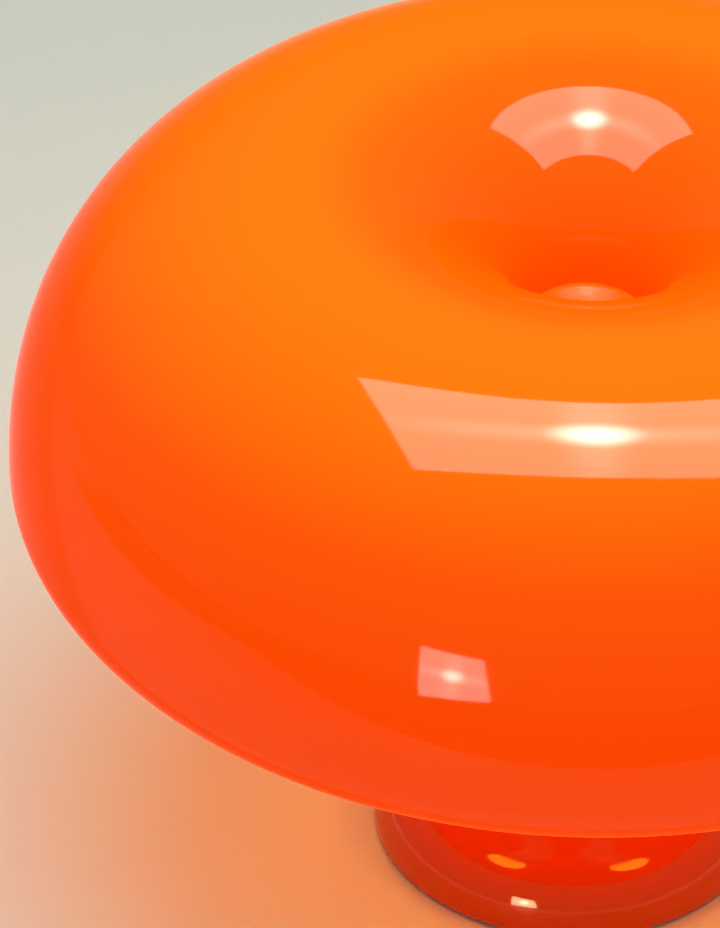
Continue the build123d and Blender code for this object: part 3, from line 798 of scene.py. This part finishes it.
holder_plastic = moulded(
    "pale_moulded_plastic", (0.80, 0.77, 0.70), (0.74, 0.70, 0.62), 0.34, 0.15, 1600
)
contact_brass = metal("bare_brass", (0.80, 0.58, 0.26), (0.66, 0.45, 0.18), 350, 0.22, 0.1)
for number in bulb_numbers:
    dress(nodes[f"lamp_holder_{number}"], holder_plastic)
    dress(nodes[f"holder_shell_{number}"], contact_brass)
    dress(nodes[f"holder_contact_{number}"], contact_brass)

# ---------------------------------------------------------------- bracket
# A pressed steel plate with four upturned tabs, enamelled white so that it throws the light down.
enamel = moulded("white_enamel", (0.80, 0.79, 0.75), (0.75, 0.74, 0.69), 0.22, 0.12, 700)
dress(nodes["holder_bracket"], enamel)

# ---------------------------------------------------------------- threaded tube
# Zinc-plated steel tube, threaded from end to end, that ties foot, bracket, seat, shade and knob
# together. The thread is a ridge that winds up a core.
tube_radius = 0.005
tube_bore = 0.0039
tube_low = 0.0041
tube_high = 0.1715
thread_pitch = 0.001
thread_ridge = 0.00032
zinc = metal("zinc_plated_steel", (0.66, 0.67, 0.66), (0.52, 0.53, 0.53), 500, 0.28, 0.15)

thread_tree = bpy.data.node_groups.new("rolled_thread", "GeometryNodeTree")
for label, kind in (
    ("Core", "NodeSocketGeometry"),
    ("Thread Radius", "NodeSocketFloat"),
    ("Length", "NodeSocketFloat"),
    ("Turns", "NodeSocketFloat"),
    ("Base", "NodeSocketFloat"),
    ("Ridge", "NodeSocketFloat"),
    ("Finish", "NodeSocketMaterial"),
):
    thread_tree.interface.new_socket(label, in_out="INPUT", socket_type=kind)
thread_tree.interface.new_socket("Threaded", in_out="OUTPUT", socket_type="NodeSocketGeometry")
given = thread_tree.nodes.new("NodeGroupInput")
made = thread_tree.nodes.new("NodeGroupOutput")
spiral = thread_tree.nodes.new("GeometryNodeCurveSpiral")
spiral.inputs["Resolution"].default_value = 20
ridge_line = thread_tree.nodes.new("GeometryNodeCurvePrimitiveCircle")
ridge_line.inputs["Resolution"].default_value = 4
ridge = thread_tree.nodes.new("GeometryNodeCurveToMesh")
ridge.inputs["Fill Caps"].default_value = True
lift = thread_tree.nodes.new("GeometryNodeTransform")
lift_by = thread_tree.nodes.new("ShaderNodeCombineXYZ")
joined = thread_tree.nodes.new("GeometryNodeJoinGeometry")
real = thread_tree.nodes.new("GeometryNodeRealizeInstances")
finish = thread_tree.nodes.new("GeometryNodeSetMaterial")
wire(thread_tree, given, "Turns", spiral, "Rotations")
wire(thread_tree, given, "Thread Radius", spiral, "Start Radius")
wire(thread_tree, given, "Thread Radius", spiral, "End Radius")
wire(thread_tree, given, "Length", spiral, "Height")
wire(thread_tree, given, "Ridge", ridge_line, "Radius")
wire(thread_tree, spiral, "Curve", ridge, "Curve")
wire(thread_tree, ridge_line, "Curve", ridge, "Profile Curve")
wire(thread_tree, given, "Base", lift_by, "Z")
wire(thread_tree, ridge, "Mesh", lift, "Geometry")
wire(thread_tree, lift_by, "Vector", lift, "Translation")
wire(thread_tree, given, "Core", joined, "Geometry")
wire(thread_tree, lift, "Geometry", joined, "Geometry")
wire(thread_tree, joined, "Geometry", real, "Geometry")
wire(thread_tree, real, "Geometry", finish, "Geometry")
wire(thread_tree, given, "Finish", finish, "Material")
wire(thread_tree, finish, "Geometry", made, "Threaded")


def grown(thing, tree, values):
    """Runs a geometry tree on an object and returns its result as a plain mesh."""
    modifier = thing.modifiers.new("tree", "NODES")
    modifier.node_group = tree
    names = {item.name: item.identifier for item in tree.interface.items_tree if item.in_out == "INPUT"}
    for label, value in values.items():
        modifier[names[label]] = value
    evaluated = thing.evaluated_get(bpy.context.evaluated_depsgraph_get())
    mesh = bpy.data.meshes.new_from_object(evaluated)
    thing.modifiers.remove(modifier)
    return mesh


tube_core = tube_radius - thread_ridge
tube_profile = [
    (tube_bore, tube_low),
    (tube_core, tube_low),
    (tube_core, tube_high),
    (tube_bore, tube_high),
]
tube = linked("threaded_tube", turned_mesh("tube_core", tube_profile, 48, closed=True))
tube.data = grown(
    tube,
    thread_tree,
    {
        "Thread Radius": tube_core,
        "Length": tube_high - tube_low - 2 * thread_ridge,
        "Turns": (tube_high - tube_low) / thread_pitch,
        "Base": tube_low + thread_ridge,
        "Ridge": thread_ridge,
        "Finish": zinc,
    },
)
tube.data.name = "threaded_tube"
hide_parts("centre_tube")
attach(tube, "base")

# ---------------------------------------------------------------- nuts, washers and screws
# Zinc-plated steel: nuts and lock washers on the tube, slotted screws for the cover, the holders
# and the terminal block.
nuts_and_washers = ("top_nut", "bottom_nut", "lock_washers")
screws = ("plate_screws", "holder_screws", "block_screws", "terminal_screws")
for name in nuts_and_washers + screws:
    dress(nodes[name], zinc)

# ---------------------------------------------------------------- seat, washer and insert
# The shade sits on a moulded seat on the tube. The knob presses on it through a soft washer, and
# turns on a brass insert.
seat_plastic = moulded("satin_white_plastic", (0.78, 0.75, 0.68), (0.72, 0.69, 0.62), 0.4, 0.1, 1200)
dress(nodes["shade_seat"], seat_plastic)
soft_rubber = moulded("soft_pale_rubber", (0.62, 0.56, 0.46), (0.56, 0.50, 0.41), 0.6, 0.3, 1500)
dress(nodes["knob_washer"], soft_rubber)
dress(nodes["knob_insert"], contact_brass)

# ---------------------------------------------------------------- wiring
# Four silicone-sheathed leads run from the holders down the stem to a terminal block under the
# foot's web.
silicone = moulded("silicone_sheath", (0.78, 0.75, 0.68), (0.70, 0.66, 0.58), 0.45, 0.2, 2000)
for number in bulb_numbers:
    dress(nodes[f"holder_lead_{number}"], silicone)
block_plastic = moulded("block_plastic", (0.70, 0.69, 0.64), (0.64, 0.63, 0.58), 0.38, 0.15, 1500)
dress(nodes["terminal_block"], block_plastic)

# ---------------------------------------------------------------- weight, cover and pads
# A cast iron weight stands in the foot over a black cover, which is held by four screws and rests
# on rubber pads. The cord's hole at the back has a rubber grommet.
cast = skinned(
    "painted_casting",
    skin_group,
    {
        "Colour": (0.10, 0.10, 0.105, 1),
        "Cloud Colour": (0.15, 0.14, 0.13, 1),
        "Cloud Scale": 120,
        "Roughness": 0.5,
        "Rubbing": 0.2,
        "Grain Scale": 900,
    },
    0.5,
    0.0003,
)[0]
dress(nodes["ballast"], cast)
cover_plastic = moulded(
    "black_cover_plastic", (0.022, 0.022, 0.023), (0.030, 0.029, 0.028), 0.42, 0.35, 1400
)
dress(nodes["bottom_plate"], cover_plastic)
black_rubber = moulded("black_rubber", (0.018, 0.018, 0.018), (0.028, 0.027, 0.026), 0.62, 0.3, 1800)
dress(nodes["rubber_pads"], black_rubber)
dress(nodes["cord_grommet"], black_rubber)
